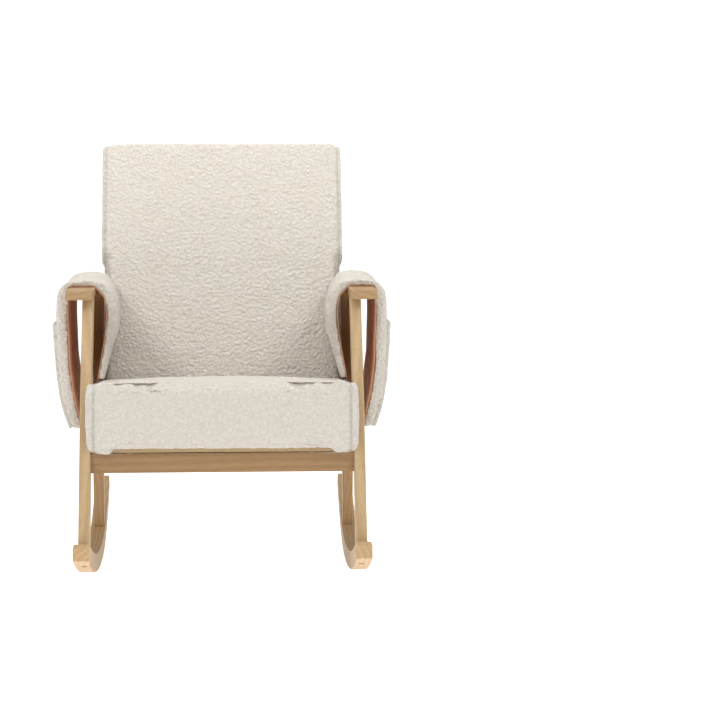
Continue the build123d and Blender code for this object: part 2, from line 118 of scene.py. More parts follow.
class BodySettings(bpy.types.PropertyGroup):
    seat_tilt: bpy.props.FloatProperty(
        name="Seat tilt", description="Slope of the seat", default=math.radians(5), subtype="ANGLE")
    seat_thick: bpy.props.FloatProperty(
        name="Seat thickness", description="Height of the seat cushion", default=0.150,
        unit="LENGTH")
    recline: bpy.props.FloatProperty(
        name="Recline", description="Lean of the back", default=math.radians(23.2), subtype="ANGLE")
    back_length: bpy.props.FloatProperty(
        name="Back length", description="Length of the back", default=0.735, unit="LENGTH")
    back_thick: bpy.props.FloatProperty(
        name="Back thickness", description="Thickness of the back", default=0.068, unit="LENGTH")
    back_squeeze: bpy.props.FloatProperty(
        name="Squeezed length", description="Length of the back between the side frames",
        default=0.436, unit="LENGTH")
    back_narrow: bpy.props.FloatProperty(
        name="Squeezed half width", description="Half width of the back between the side frames",
        default=0.281, unit="LENGTH")


class WoodSettings(bpy.types.PropertyGroup):
    light: bpy.props.FloatVectorProperty(
        name="Light wood", description="Colour between the growth rings", subtype="COLOR",
        size=3, min=0, max=1, default=(0.53, 0.375, 0.205))
    dark: bpy.props.FloatVectorProperty(
        name="Dark wood", description="Colour of the growth rings", subtype="COLOR",
        size=3, min=0, max=1, default=(0.40, 0.25, 0.115))


class StageSettings(bpy.types.PropertyGroup):
    lens: bpy.props.FloatProperty(
        name="Lens", description="Focal length in millimetres", default=113.14)
    distance: bpy.props.FloatProperty(
        name="Distance", description="Camera in front of the runners' tips", default=4.702,
        unit="LENGTH")
    sideways: bpy.props.FloatProperty(
        name="Sideways", description="Camera to the side of the middle", default=0.0145,
        unit="LENGTH")
    height: bpy.props.FloatProperty(
        name="Height", description="Camera above the floor", default=0.974, unit="LENGTH")
    pitch: bpy.props.FloatProperty(
        name="Pitch", description="Camera turned down", default=math.radians(5.615),
        subtype="ANGLE")
    yaw: bpy.props.FloatProperty(
        name="Yaw", description="Camera turned to the right", default=math.radians(3.329),
        subtype="ANGLE")
    fill: bpy.props.FloatProperty(
        name="Fill", description="Strength of the light from all round", default=0.42)


class ChairSettings(bpy.types.PropertyGroup):
    fleece: bpy.props.PointerProperty(type=FleeceSettings)
    cushion: bpy.props.PointerProperty(type=CushionSettings)
    body: bpy.props.PointerProperty(type=BodySettings)
    wood: bpy.props.PointerProperty(type=WoodSettings)
    stage: bpy.props.PointerProperty(type=StageSettings)


def settings():
    return bpy.context.scene.nursery_chair


# ---- places in the tilted seat and the raked back ----

def seat_place(x, along, up):
    """A point of the seat: along it from its lower front edge, and up from its underside."""
    body = settings().body
    low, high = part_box("seat_cover")
    base = high.z - body.seat_thick * math.cos(body.seat_tilt)
    y = low.y + along * math.cos(body.seat_tilt) + up * math.sin(body.seat_tilt)
    z = base - along * math.sin(body.seat_tilt) + up * math.cos(body.seat_tilt)
    return Vector((x, y, z))


def back_place(x, up, deep):
    """A point of the back: up from its foot, and deep from its front face."""
    body = settings().body
    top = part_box("back_cover")[1].z
    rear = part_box("back_rear_panel")[1].y
    y = rear - (body.back_thick - deep) * math.cos(body.recline)
    y -= (body.back_length - up) * math.sin(body.recline)
    z = top - (body.back_length - up) * math.cos(body.recline) - deep * math.sin(body.recline)
    return Vector((x, y, z))


def in_back(points):
    """How far points lie up the back and deep in it."""
    recline = settings().body.recline
    foot = back_place(0, 0, 0)
    y = points[:, 1] - foot.y
    z = points[:, 2] - foot.z
    up = y * math.sin(recline) + z * math.cos(recline)
    deep = y * math.cos(recline) - z * math.sin(recline)
    return up, deep


def in_seat(points):
    """How far points lie along the seat and up in it."""
    tilt = settings().body.seat_tilt
    foot = seat_place(0, 0, 0)
    y = points[:, 1] - foot.y
    z = points[:, 2] - foot.z
    return y * math.cos(tilt) - z * math.sin(tilt), y * math.sin(tilt) + z * math.cos(tilt)


# ---- mesh helpers ----

def new_object(name, mesh):
    obj = bpy.data.objects.new(name, mesh)
    bpy.context.scene.collection.objects.link(obj)
    return obj


def object_from(name, bm):
    bmesh.ops.recalc_face_normals(bm, faces=bm.faces)
    mesh = bpy.data.meshes.new(name)
    bm.to_mesh(mesh)
    bm.free()
    return new_object(name, mesh)


def coordinates(mesh):
    flat = np.empty(len(mesh.vertices) * 3)
    mesh.vertices.foreach_get("co", flat)
    return flat.reshape(-1, 3)


def normals(mesh):
    flat = np.empty(len(mesh.vertices) * 3)
    mesh.vertices.foreach_get("normal", flat)
    return flat.reshape(-1, 3)


def set_coordinates(mesh, points):
    mesh.vertices.foreach_set("co", points.ravel())
    mesh.update()


def bake_modifiers(obj):
    """Replaces an object's mesh by what its modifiers make of it."""
    depsgraph = bpy.context.evaluated_depsgraph_get()
    mesh = bpy.data.meshes.new_from_object(obj.evaluated_get(depsgraph), depsgraph=depsgraph)
    obj.modifiers.clear()
    obj.data = mesh
    return obj


def with_modifier(obj, kind, **values):
    modifier = obj.modifiers.new(kind.title(), kind)
    for key, value in values.items():
        setattr(modifier, key, value)
    return bake_modifiers(obj)


def prism(bm, outline, x0, x1):
    """A closed block with an outline of Y, Z points, between two X positions."""
    ends = [[bm.verts.new((x, p.y, p.z)) for p in outline] for x in (x0, x1)]
    bm.faces.new(ends[0])
    bm.faces.new(reversed(ends[1]))
    for i in range(len(outline)):
        j = (i + 1) % len(outline)
        bm.faces.new((ends[0][i], ends[1][i], ends[1][j], ends[0][j]))


def cad_copy(node, name):
    """A merged copy of a CAD node's mesh."""
    bm = bmesh.new()
    bm.from_mesh(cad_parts[node].data)
    bmesh.ops.remove_doubles(bm, verts=bm.verts, dist=1e-6)
    bmesh.ops.recalc_face_normals(bm, faces=bm.faces)
    return object_from(name, bm)


def remesh(obj, voxel, rounds=6, corner=0.0):
    """One even skin round everything in the object, with softened edges."""
    if corner:
        with_modifier(obj, "BEVEL", width=corner, segments=4)
    with_modifier(obj, "REMESH", mode="VOXEL", voxel_size=voxel, use_smooth_shade=True)
    return with_modifier(obj, "SMOOTH", factor=0.5, iterations=rounds)


def swell(obj, cap, pressure=None, frames=14, still=None):
    """Blows the skin up as filled cloth, and caps how far each point may go; still points stay."""
    start = coordinates(obj.data)
    modifier = obj.modifiers.new("Swell", "CLOTH")
    cloth = modifier.settings
    cloth.use_pressure = True
    cloth.uniform_pressure_force = pressure or settings().cushion.pressure
    cloth.effector_weights.gravity = 0
    cloth.quality = 3
    modifier.collision_settings.use_collision = False
    scene = bpy.context.scene
    for number in range(1, frames + 1):
        scene.frame_set(number)
    bake_modifiers(obj)
    scene.frame_set(1)
    move = coordinates(obj.data) - start
    length = np.linalg.norm(move, axis=1, keepdims=True)
    move *= np.minimum(1, cap / np.maximum(length, 1e-9))
    if still is not None:
        move[still] = 0
    set_coordinates(obj.data, start + move)
    return obj


def leaning_axes(lean):
    """Turns points into X and two axes that lean back with the seat or the back."""
    return np.array(((1, 0, 0), (0, math.cos(lean), -math.sin(lean)),
                     (0, math.sin(lean), math.cos(lean))))


def stretch(obj, low, high, lean=0.0):
    """Stretches a skin along X and two leaning axes, so that it fills a box measured along them."""
    turn = leaning_axes(lean)
    local = coordinates(obj.data) @ turn.T
    now_low, now_high = local.min(axis=0), local.max(axis=0)
    low, high = np.asarray(low), np.asarray(high)
    local = low + (local - now_low) * (high - low) / (now_high - now_low)
    set_coordinates(obj.data, local @ turn)


def box_along(corners, lean=0.0):
    """Least and greatest position of some points along X and two leaning axes."""
    turn = leaning_axes(lean)
    local = np.array(corners) @ turn.T
    return local.min(axis=0), local.max(axis=0)


def settle(obj, low, high, lean, foot, reach=0.016):
    """Brings the broad faces of a skin back to the faces of a leaning box."""
    turn = leaning_axes(lean)
    local = (coordinates(obj.data) - np.array(foot)) @ turn.T
    facing = normals(obj.data) @ turn.T
    for axis in range(3):
        for sign, face in ((-1, low[axis]), (1, high[axis])):
            if face is None:
                continue
            near = (facing[:, axis] * sign > 0.6) & (np.abs(local[:, axis] - face) < reach)
            local[near, axis] = face
    set_coordinates(obj.data, local @ turn + np.array(foot))
    with_modifier(obj, "SMOOTH", factor=0.5, iterations=2)


def refine(obj, levels=1):
    return with_modifier(obj, "SUBSURF", levels=levels, render_levels=levels)


def sink(obj, distance, depth, width):
    """Draws the skin in along a seam, where distance is each point's distance from it."""
    amount = depth * np.exp(-(distance / width) ** 2)
    points = coordinates(obj.data) - normals(obj.data) * amount[:, None]
    set_coordinates(obj.data, points)


def swell_by(obj, amount):
    set_coordinates(obj.data, coordinates(obj.data) + normals(obj.data) * amount[:, None])


def curl_heights(points, curl, seed):
    """Height from 0 to 1 of a curly pile: small domes, crowded and uneven."""
    heights = np.empty(len(points))
    shift = Vector((seed * 3.7, seed * 1.3, seed * 2.1))
    for i, point in enumerate(points):
        place = Vector(point) / curl + shift
        place += 0.35 * noise.noise_vector(place * 0.6)
        near = noise.voronoi(place)[0]
        dome = 1 - min(1.0, near[0] * 1.15) ** 2
        heights[i] = 0.62 * dome + 0.38 * (0.5 + 0.5 * noise.noise(place * 0.45))
    return heights


def raise_pile(obj, seed, scale=1.0):
    """Gives a skin the curly surface of fleece."""
    fleece = settings().fleece
    points = coordinates(obj.data)
    heights = curl_heights(points, fleece.curl, seed)
    slow = np.array([noise.noise(Vector(p) / 0.045) for p in points])
    swell_by(obj, scale * fleece.pile * (heights - 0.5) + 0.0009 * slow)
    obj.data.polygons.foreach_set("use_smooth", [True] * len(obj.data.polygons))


def finish_piece(obj, body, material, nodes=()):
    """Rides on a body, stands for CAD nodes and takes its material."""
    obj.data.materials.clear()
    obj.data.materials.append(material)
    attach(obj, body)
    if nodes:
        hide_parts(*nodes)
    return obj


# ---- shader groups ----

def group_socket(tree, name, kind, default=None, out=False):
    socket = tree.interface.new_socket(
        name=name, in_out="OUTPUT" if out else "INPUT", socket_type=f"NodeSocket{kind}")
    if default is not None:
        socket.default_value = default
    return socket


def node(tree, kind, values=(), links=()):
    """A node with property values, and links into its sockets."""
    made = tree.nodes.new(kind)
    for key, value in dict(values).items():
        if hasattr(made, key):
            setattr(made, key, value)
        else:
            made.inputs[key].default_value = value
    for key, source in dict(links).items():
        tree.links.new(source, made.inputs[key])
    return made


def maths(tree, operation, first, second=None, clamp=False):
    made = node(tree, "ShaderNodeMath", {"operation": operation, "use_clamp": clamp})
    for index, value in enumerate((first, second)):
        if value is None:
            continue
        if isinstance(value, (int, float)):
            made.inputs[index].default_value = value
        else:
            tree.links.new(value, made.inputs[index])
    return made.outputs[0]


def curl_group():
    """Curly pile: how high each place is, and a mask of the hollows between curls, where shade is painted.
    """
    tree = bpy.data.node_groups.new("Curly pile", "ShaderNodeTree")
    group_socket(tree, "Vector", "Vector")
    group_socket(tree, "Curls per metre", "Float", 133.0)
    group_socket(tree, "Height", "Float", out=True)
    group_socket(tree, "Hollow", "Float", out=True)
    start = node(tree, "NodeGroupInput")
    vector, scale = start.outputs[0], start.outputs[1]
    wobble = node(tree, "ShaderNodeTexNoise", {"Scale": 90.0, "Detail": 2.0}, {"Vector": vector})
    mixed = node(tree, "ShaderNodeMixRGB", {"blend_type": "ADD", "Fac": 0.0045},
                 {"Color1": vector, "Color2": wobble.outputs["Color"]})
    curls = node(tree, "ShaderNodeTexVoronoi", {"feature": "SMOOTH_F1", "Smoothness": 0.35},
                 {"Vector": mixed.outputs[0], "Scale": scale})
    fine_scale = maths(tree, "MULTIPLY", scale, 2.6)
    fine = node(tree, "ShaderNodeTexVoronoi", {"feature": "SMOOTH_F1", "Smoothness": 0.5},
                {"Vector": mixed.outputs[0], "Scale": fine_scale})
    fuzz_scale = maths(tree, "MULTIPLY", scale, 7.0)
    fuzz = node(tree, "ShaderNodeTexNoise", {"Detail": 3.0, "Roughness": 0.7},
                {"Vector": vector, "Scale": fuzz_scale})
    dome = maths(tree, "SUBTRACT", 1.0, curls.outputs["Distance"])
    small = maths(tree, "SUBTRACT", 1.0, fine.outputs["Distance"])
    high = maths(tree, "ADD", maths(tree, "MULTIPLY", dome, 0.55), maths(tree, "MULTIPLY", small, 0.3))
    high = maths(tree, "ADD", high, maths(tree, "MULTIPLY", fuzz.outputs[0], 0.25))
    hollow_shade = node(tree, "ShaderNodeMapRange", {"From Min": 0.78, "From Max": 0.5}, {"Value": high})
    end = node(tree, "NodeGroupOutput")
    tree.links.new(high, end.inputs[0])
    tree.links.new(hollow_shade.outputs[0], end.inputs[1])
    return tree


def weave_group():
    """Plain weave: crossing threads in the plane of the first two axes."""
    tree = bpy.data.node_groups.new("Plain weave", "ShaderNodeTree")
    group_socket(tree, "Vector", "Vector")
    group_socket(tree, "Threads per metre", "Float", 900.0)
    group_socket(tree, "Height", "Float", out=True)
    start = node(tree, "NodeGroupInput")
    waves = []
    for direction in ("X", "Y", "Z"):
        wave = node(tree, "ShaderNodeTexWave", {"bands_direction": direction, "Distortion": 0.6},
                    {"Vector": start.outputs[0], "Scale": start.outputs[1]})
        waves.append(wave.outputs["Fac"])
    product = maths(tree, "ADD", maths(tree, "ADD", waves[0], waves[1]), waves[2])
    end = node(tree, "NodeGroupOutput")
    tree.links.new(maths(tree, "DIVIDE", product, 3.0), end.inputs[0])
    return tree


def grain_group():
    """Sawn board whose fibres run along Z: growth rings, fibres and pores."""
    tree = bpy.data.node_groups.new("Board grain", "ShaderNodeTree")
    group_socket(tree, "Vector", "Vector")
    group_socket(tree, "Stretch", "Float", 0.07)
    group_socket(tree, "Rings", "Float", out=True)
    group_socket(tree, "Fibres", "Float", out=True)
    group_socket(tree, "Pores", "Float", out=True)
    start = node(tree, "NodeGroupInput")
    stretch = node(tree, "ShaderNodeCombineXYZ", {"X": 1.0, "Y": 1.0}, {"Z": start.outputs[1]})
    long_way = node(tree, "ShaderNodeVectorMath", {"operation": "MULTIPLY"})
    tree.links.new(start.outputs[0], long_way.inputs[0])
    tree.links.new(stretch.outputs[0], long_way.inputs[1])
    vector = long_way.outputs[0]
    bend = node(tree, "ShaderNodeTexNoise", {"Scale": 9.0, "Detail": 2.0}, {"Vector": vector})
    bent = node(tree, "ShaderNodeMixRGB", {"blend_type": "ADD", "Fac": 0.06},
                {"Color1": vector, "Color2": bend.outputs["Color"]})
    rings = node(tree, "ShaderNodeTexWave",
                 {"wave_type": "RINGS", "rings_direction": "Z", "Scale": 26.0, "Distortion": 2.2,
                  "Detail": 2.0, "Detail Scale": 1.5}, {"Vector": bent.outputs[0]})
    fibres = node(tree, "ShaderNodeTexNoise", {"Scale": 420.0, "Detail": 4.0, "Roughness": 0.65},
                  {"Vector": vector})
    pores = node(tree, "ShaderNodeTexNoise", {"Scale": 900.0, "Detail": 1.0}, {"Vector": vector})
    dark = node(tree, "ShaderNodeMapRange", {"From Min": 0.60, "From Max": 0.72},
                {"Value": pores.outputs[0]})
    end = node(tree, "NodeGroupOutput")
    for index, source in enumerate((rings.outputs["Fac"], fibres.outputs[0], dark.outputs[0])):
        tree.links.new(source, end.inputs[index])
    return tree


GROUPS = {}


def shared_group(name):
    makers = {"curls": curl_group, "weave": weave_group, "grain": grain_group}
    if name not in GROUPS:
        GROUPS[name] = makers[name]()
    return GROUPS[name]


# ---- materials ----

def new_material(name):
    material = bpy.data.materials.new(name)
    material.use_nodes = True
    tree = material.node_tree
    return material, tree, tree.nodes["Principled BSDF"]


def object_vector(tree, turn=(0, 0, 0), size=(1, 1, 1)):
    place = node(tree, "ShaderNodeTexCoord")
    mapping = node(tree, "ShaderNodeMapping", {"Rotation": turn}, {"Vector": place.outputs["Object"]})
    scaled = node(tree, "ShaderNodeMapping", {"Scale": size}, {"Vector": mapping.outputs[0]})
    return scaled.outputs[0]


def blend_colours(tree, factor, first, second):
    mixed = node(tree, "ShaderNodeMixRGB", {}, {"Fac": factor})
    for socket, value in (("Color1", first), ("Color2", second)):
        if hasattr(value, "links"):
            tree.links.new(value, mixed.inputs[socket])
        else:
            mixed.inputs[socket].default_value = (*value, 1)
    return mixed.outputs[0]


def bump(tree, shader, height, distance, strength=1.0):
    made = node(tree, "ShaderNodeBump", {"Distance": distance, "Strength": strength},
                {"Height": height})
    tree.links.new(made.outputs[0], shader.inputs["Normal"])


def seam_mask(tree, vector, place):
    """1 along two upright lines, place metres either side of the middle, and 0 away from them: the mask
    for the painted shade along the seams.
    """
    parts = node(tree, "ShaderNodeSeparateXYZ", {}, {"Vector": vector})
    beside = maths(tree, "SUBTRACT", maths(tree, "ABSOLUTE", parts.outputs["X"]), place)
    off = maths(tree, "ABSOLUTE", beside)
    mask = node(tree, "ShaderNodeMapRange", {"From Min": 0.0012, "From Max": 0.0045,
                                             "To Min": 0.35, "To Max": 0.0}, {"Value": off})
    return mask.outputs[0]


def fleece_material(name, warmth=0.0, seam=None):
    """Cream curly fleece: pale tips, painted warm shade in the hollows, uneven pile, and painted shade
    along a seam's valley.
    """
    fleece = settings().fleece
    material, tree, shader = new_material(name)
    vector = object_vector(tree)
    group = node(tree, "ShaderNodeGroup", {"node_tree": shared_group("curls")}, {"Vector": vector})
    group.inputs["Curls per metre"].default_value = 1 / fleece.curl
    cloud = node(tree, "ShaderNodeTexNoise", {"Scale": 16.0, "Detail": 3.0}, {"Vector": vector})
    # painted shade: the hollows between curls are blended towards the shade colour
    hollow_shade = maths(tree, "MULTIPLY", group.outputs["Hollow"], 0.6)
    colour = blend_colours(tree, hollow_shade, tuple(fleece.colour), tuple(fleece.shade))
    drift = node(tree, "ShaderNodeMapRange", {"From Min": 0.35, "From Max": 0.75, "To Max": 0.16 + warmth},
                 {"Value": cloud.outputs[0]})
    warm = tuple(c * f for c, f in zip(fleece.colour, (0.97, 0.90, 0.80)))
    colour = blend_colours(tree, drift.outputs[0], colour, warm)
    if seam:
        # painted shade: the seam's valley is darkened with a darker copy of the shade colour
        seam_shade = tuple(c * 0.62 for c in fleece.shade)
        colour = blend_colours(tree, seam_mask(tree, vector, seam), colour, seam_shade)
    tree.links.new(colour, shader.inputs["Base Color"])
    shader.inputs["Roughness"].default_value = 0.96
    shader.inputs["Specular IOR Level"].default_value = 0.12
    shader.inputs["Sheen Weight"].default_value = 0.22
    shader.inputs["Sheen Roughness"].default_value = 0.85
    bump(tree, shader, group.outputs["Height"], 0.0065)
    return material


def lining_and_shade_material():
    """Tan woven lining with a few paler threads; its deep rust tan is partly the cloth's own colour and
    partly painted warm shade and bounced light under the cover's flap.
    """
    material, tree, shader = new_material("tan_lining_painted_shade")
    vector = object_vector(tree, turn=(0.5, 0.4, 0.2))
    weave = node(tree, "ShaderNodeGroup", {"node_tree": shared_group("weave")}, {"Vector": vector})
    weave.inputs["Threads per metre"].default_value = 620.0
    cloud = node(tree, "ShaderNodeTexNoise", {"Scale": 22.0, "Detail": 4.0}, {"Vector": vector})
    # painted shade: the rust tan stands partly for the warm shade and bounced light under the flap
    thread = blend_colours(tree, weave.outputs[0], (0.70, 0.30, 0.15), (0.86, 0.47, 0.27))
    drift = node(tree, "ShaderNodeMapRange", {"To Max": 0.5}, {"Value": cloud.outputs[0]})
    colour = blend_colours(tree, drift.outputs[0], thread, (0.76, 0.36, 0.19))
    tree.links.new(colour, shader.inputs["Base Color"])
    shader.inputs["Roughness"].default_value = 0.85
    shader.inputs["Sheen Weight"].default_value = 0.15
    bump(tree, shader, weave.outputs[0], 0.0004)
    return material


def dust_material():
    """Thin black bonded cloth under the seat."""
    material, tree, shader = new_material("dust_cloth")
    vector = object_vector(tree)
    weave = node(tree, "ShaderNodeGroup", {"node_tree": shared_group("weave")}, {"Vector": vector})
    weave.inputs["Threads per metre"].default_value = 450.0
    dots = node(tree, "ShaderNodeTexNoise", {"Scale": 260.0, "Detail": 2.0}, {"Vector": vector})
    colour = blend_colours(tree, dots.outputs[0], (0.012, 0.012, 0.013), (0.045, 0.045, 0.048))
    tree.links.new(colour, shader.inputs["Base Color"])
    shader.inputs["Roughness"].default_value = 0.9
    bump(tree, shader, weave.outputs[0], 0.0003)
    return material


def wood_material(name, turn, tone_and_shade=1.0, warm=0.0, stretch=0.07):
    """Pale oiled wood, its fibres along the board; a lower tone darkens a board and warmth makes it
    redder, which on the rear legs and the rails is painted shade.
    """
    wood = settings().wood
    material, tree, shader = new_material(name)
    vector = object_vector(tree, turn=turn)
    grain = node(tree, "ShaderNodeGroup", {"node_tree": shared_group("grain")}, {"Vector": vector})
    grain.inputs["Stretch"].default_value = stretch
    # tone and warmth scale and redden the whole board; on the rear legs and the rails this is painted
    # shade
    tint = (tone_and_shade, tone_and_shade * (1 - 0.16 * warm), tone_and_shade * (1 - 0.32 * warm))
    light = tuple(c * t for c, t in zip(wood.light, tint))
    dark = tuple(c * t for c, t in zip(wood.dark, tint))
    rings = node(tree, "ShaderNodeMapRange", {"To Max": 0.55}, {"Value": grain.outputs["Rings"]})
    colour = blend_colours(tree, rings.outputs[0], light, dark)
    fibres = node(tree, "ShaderNodeMapRange", {"From Min": 0.3, "From Max": 0.75, "To Max": 0.5},
                  {"Value": grain.outputs["Fibres"]})
    colour = blend_colours(tree, fibres.outputs[0], colour, tuple(c * 0.72 for c in light))
    pores = maths(tree, "MULTIPLY", grain.outputs["Pores"], 0.35)
    colour = blend_colours(tree, pores, colour, tuple(c * 0.42 for c in dark))
    tree.links.new(colour, shader.inputs["Base Color"])
    rough = node(tree, "ShaderNodeMapRange", {"To Min": 0.42, "To Max": 0.62},
                 {"Value": grain.outputs["Fibres"]})
    tree.links.new(rough.outputs[0], shader.inputs["Roughness"])
    shader.inputs["Specular IOR Level"].default_value = 0.4
    deep = maths(tree, "MULTIPLY", grain.outputs["Pores"], 0.6)
    height = maths(tree, "SUBTRACT", grain.outputs["Fibres"], deep)
    bump(tree, shader, height, 0.0003)
    return material


def steel_material(name, colour, roughness):
    """Plated steel with faint turning marks."""
    material, tree, shader = new_material(name)
    vector = object_vector(tree)
    marks = node(tree, "ShaderNodeTexNoise", {"Scale": 700.0, "Detail": 2.0}, {"Vector": vector})
    tint = blend_colours(tree, marks.outputs[0], tuple(c * 0.8 for c in colour), colour)
    tree.links.new(tint, shader.inputs["Base Color"])
    rough = node(tree, "ShaderNodeMapRange", {"To Min": roughness - 0.08, "To Max": roughness + 0.1},
                 {"Value": marks.outputs[0]})
    tree.links.new(rough.outputs[0], shader.inputs["Roughness"])
    shader.inputs["Metallic"].default_value = 1.0
    bump(tree, shader, marks.outputs[0], 0.0001)
    return material


def plain_cloth(name, colour, threads):
    """Webbing, thread or foam: a matt weave in one colour with a faint drift."""
    material, tree, shader = new_material(name)
    vector = object_vector(tree)
    weave = node(tree, "ShaderNodeGroup", {"node_tree": shared_group("weave")}, {"Vector": vector})
    weave.inputs["Threads per metre"].default_value = threads
    tint = blend_colours(tree, weave.outputs[0], tuple(c * 0.75 for c in colour), colour)
    tree.links.new(tint, shader.inputs["Base Color"])
    shader.inputs["Roughness"].default_value = 0.9
    bump(tree, shader, weave.outputs[0], 0.0004)
    return material


# ---- repeated small pieces ----

def row_tree():
    """Geometry nodes: small pieces spaced along curves, made real, with a material."""
    tree = bpy.data.node_groups.new("Row along curves", "GeometryNodeTree")
    group_socket(tree, "Geometry", "Geometry")
    group_socket(tree, "Spacing", "Float", 0.007)
    group_socket(tree, "Length", "Float", 0.004)
    group_socket(tree, "Radius", "Float", 0.0004)
    group_socket(tree, "Material", "Material")
    group_socket(tree, "Geometry", "Geometry", out=True)
    start = node(tree, "NodeGroupInput")
    points = node(tree, "GeometryNodeCurveToPoints", {"mode": "LENGTH"},
                  {"Curve": start.outputs["Geometry"], "Length": start.outputs["Spacing"]})
    bead = node(tree, "GeometryNodeMeshUVSphere", {"Segments": 6, "Rings": 4})
    size = node(tree, "ShaderNodeCombineXYZ", {},
                {"X": start.outputs["Radius"], "Y": start.outputs["Radius"],
                 "Z": start.outputs["Length"]})
    placed = node(tree, "GeometryNodeInstanceOnPoints", {},
                  {"Points": points.outputs["Points"], "Instance": bead.outputs["Mesh"],
                   "Rotation": points.outputs["Rotation"], "Scale": size.outputs[0]})
    real = node(tree, "GeometryNodeRealizeInstances", {}, {"Geometry": placed.outputs[0]})
    dressed = node(tree, "GeometryNodeSetMaterial", {},
                   {"Geometry": real.outputs[0], "Material": start.outputs["Material"]})
    end = node(tree, "NodeGroupOutput")
    tree.links.new(dressed.outputs[0], end.inputs[0])
    return tree


def row_of(name, lines, spacing, length, radius, material):
    """Small pieces along broken lines, as one plain mesh."""
    curve = bpy.data.curves.new(name, "CURVE")
    curve.dimensions = "3D"
    for line in lines:
        spline = curve.splines.new("POLY")
        spline.points.add(len(line) - 1)
        for point, place in zip(spline.points, line):
            point.co = (*place, 1)
    holder = new_object(name + "_line", curve)
    if "Row along curves" not in bpy.data.node_groups:
        row_tree()
    tree = bpy.data.node_groups["Row along curves"]
    modifier = holder.modifiers.new("Row", "NODES")
    modifier.node_group = tree
    values = {"Spacing": spacing, "Length": length, "Radius": radius, "Material": material}
    for item in tree.interface.items_tree:
        if item.in_out == "INPUT" and item.name in values:
            modifier[item.identifier] = values[item.name]
    depsgraph = bpy.context.evaluated_depsgraph_get()
    mesh = bpy.data.meshes.new_from_object(holder.evaluated_get(depsgraph), depsgraph=depsgraph)
    bpy.data.objects.remove(holder)
    return new_object(name, mesh)


# ---- the seat ----

def leg_front_edge(z):
    """Y of the front legs' front edge at a height, off the leg's own mesh."""
    points = coordinates(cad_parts["left_front_leg"].data)
    near = points[np.abs(points[:, 2] - z) < LEG_LOOK]
    slope = LEG_SLOPES[0] if z < LEG_BEND_HEIGHT else LEG_SLOPES[1]
    return float(np.min(near[:, 1] - slope * (near[:, 2] - z)))


class CHAIR_OT_seat(bpy.types.Operator):
    """Seat cushion: a swollen box with side seams, wider in front of the legs"""
    bl_idname = "chair.seat"
    bl_label = "Seat cushion"

    def execute(self, context):
        cushion = settings().cushion
        body = settings().body
        slack = cushion.slack
        low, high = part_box("seat_cover")
        thick = body.seat_thick
        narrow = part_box("left_front_leg")[0].x - SIDE_CLEARANCE
        rear_low = seat_place(0, self.depth(0), slack)
        rear_high = seat_place(0, self.depth(thick) - slack, thick - slack)
        front = [seat_place(0, slack, slack), seat_place(0, slack, thick - slack)]
        bm = bmesh.new()
        prism(bm, front + [rear_high, rear_low], -narrow + slack, narrow - slack)
        wing = list(front)
        for up in (thick - slack, slack):
            place = seat_place(0, slack, up)
            wing.append(Vector((0, leg_front_edge(place.z) - LEG_CLEARANCE - slack, place.z)))
        prism(bm, wing, low.x + slack, high.x - slack)
        obj = object_from("seat_cushion", bm)
        remesh(obj, cushion.voxel, rounds=9, corner=0.012)
        swell(obj, cap=slack + 0.001)
        rear = seat_place(0, self.depth(0), 0)
        corners = [(low.x, *seat_place(0, 0, 0)[1:]), (high.x, *seat_place(0, 0, thick)[1:]), rear]
        stretch(obj, *box_along(corners, body.seat_tilt), body.seat_tilt)
        settle(obj, (low.x, 0, 0), (high.x, None, thick), body.seat_tilt, seat_place(0, 0, 0),
               reach=0.035)
        self.crown(obj, thick, high.x)
        refine(obj)
        self.seams(obj, cushion, thick)
        raise_pile(obj, seed=1)
        material = fleece_material("seat_fleece", seam=cushion.seat_seam)
        finish_piece(obj, CHAIR, material, ["seat_cover", "seat_foam"])
        return {"FINISHED"}

    def depth(self, up):
        """Length of the seat at a height in it, up to the back's front face."""
        foot = back_place(0, 0, 0)
        recline = settings().body.recline
        for along in np.arange(0.38, 0.52, 0.001):
            place = seat_place(0, along, up)
            line = foot.y + (place.z - foot.z) * math.tan(recline)
            if place.y > line - 0.002:
                return float(along)
        return 0.52

    def crown(self, obj, thick, half):
        """Full in the middle of the top and the front, slightly wavy along the lower edge."""
        points = coordinates(obj.data)
        along, up = in_seat(points)
        across = np.clip(1 - (points[:, 0] / half) ** 2, 0, 1)
        top = np.clip((up - 0.1) / 0.05, 0, 1) * across * np.sin(np.clip(along / 0.46, 0, 1) * np.pi)
        rise = 0.010 * np.maximum(top, 0)
        face = np.clip(1 - along / 0.03, 0, 1) * np.sin(np.clip(up / thick, 0, 1) * np.pi)
        points[:, 2] += rise
        points[:, 1] -= 0.006 * face * across ** 0.3
        wave = np.array([noise.noise(Vector((x * 11, 4.2, 0))) for x in points[:, 0]])
        low_front = np.clip(1 - along / 0.05, 0, 1) * np.clip(1 - up / 0.05, 0, 1)
        points[:, 2] += 0.004 * wave * low_front
        set_coordinates(obj.data, points)

    def seams(self, obj, cushion, thick):
        points = coordinates(obj.data)
        along, up = in_seat(points)
        for side in SIDES.values():
            off = points[:, 0] - side * cushion.seat_seam
            outside = (up < 0.012) * 1.0
            sink(obj, np.abs(off) + outside, cushion.seam_depth, cushion.seam_width)
            plump = np.clip(side * points[:, 0] - cushion.seat_seam, 0, 0.02) / 0.02
            front = np.clip(1 - along / 0.05, 0, 1) * np.sin(np.clip(up / thick, 0, 1) * np.pi)
            swell_by(obj, 0.003 * plump * front)


# ---- the back ----

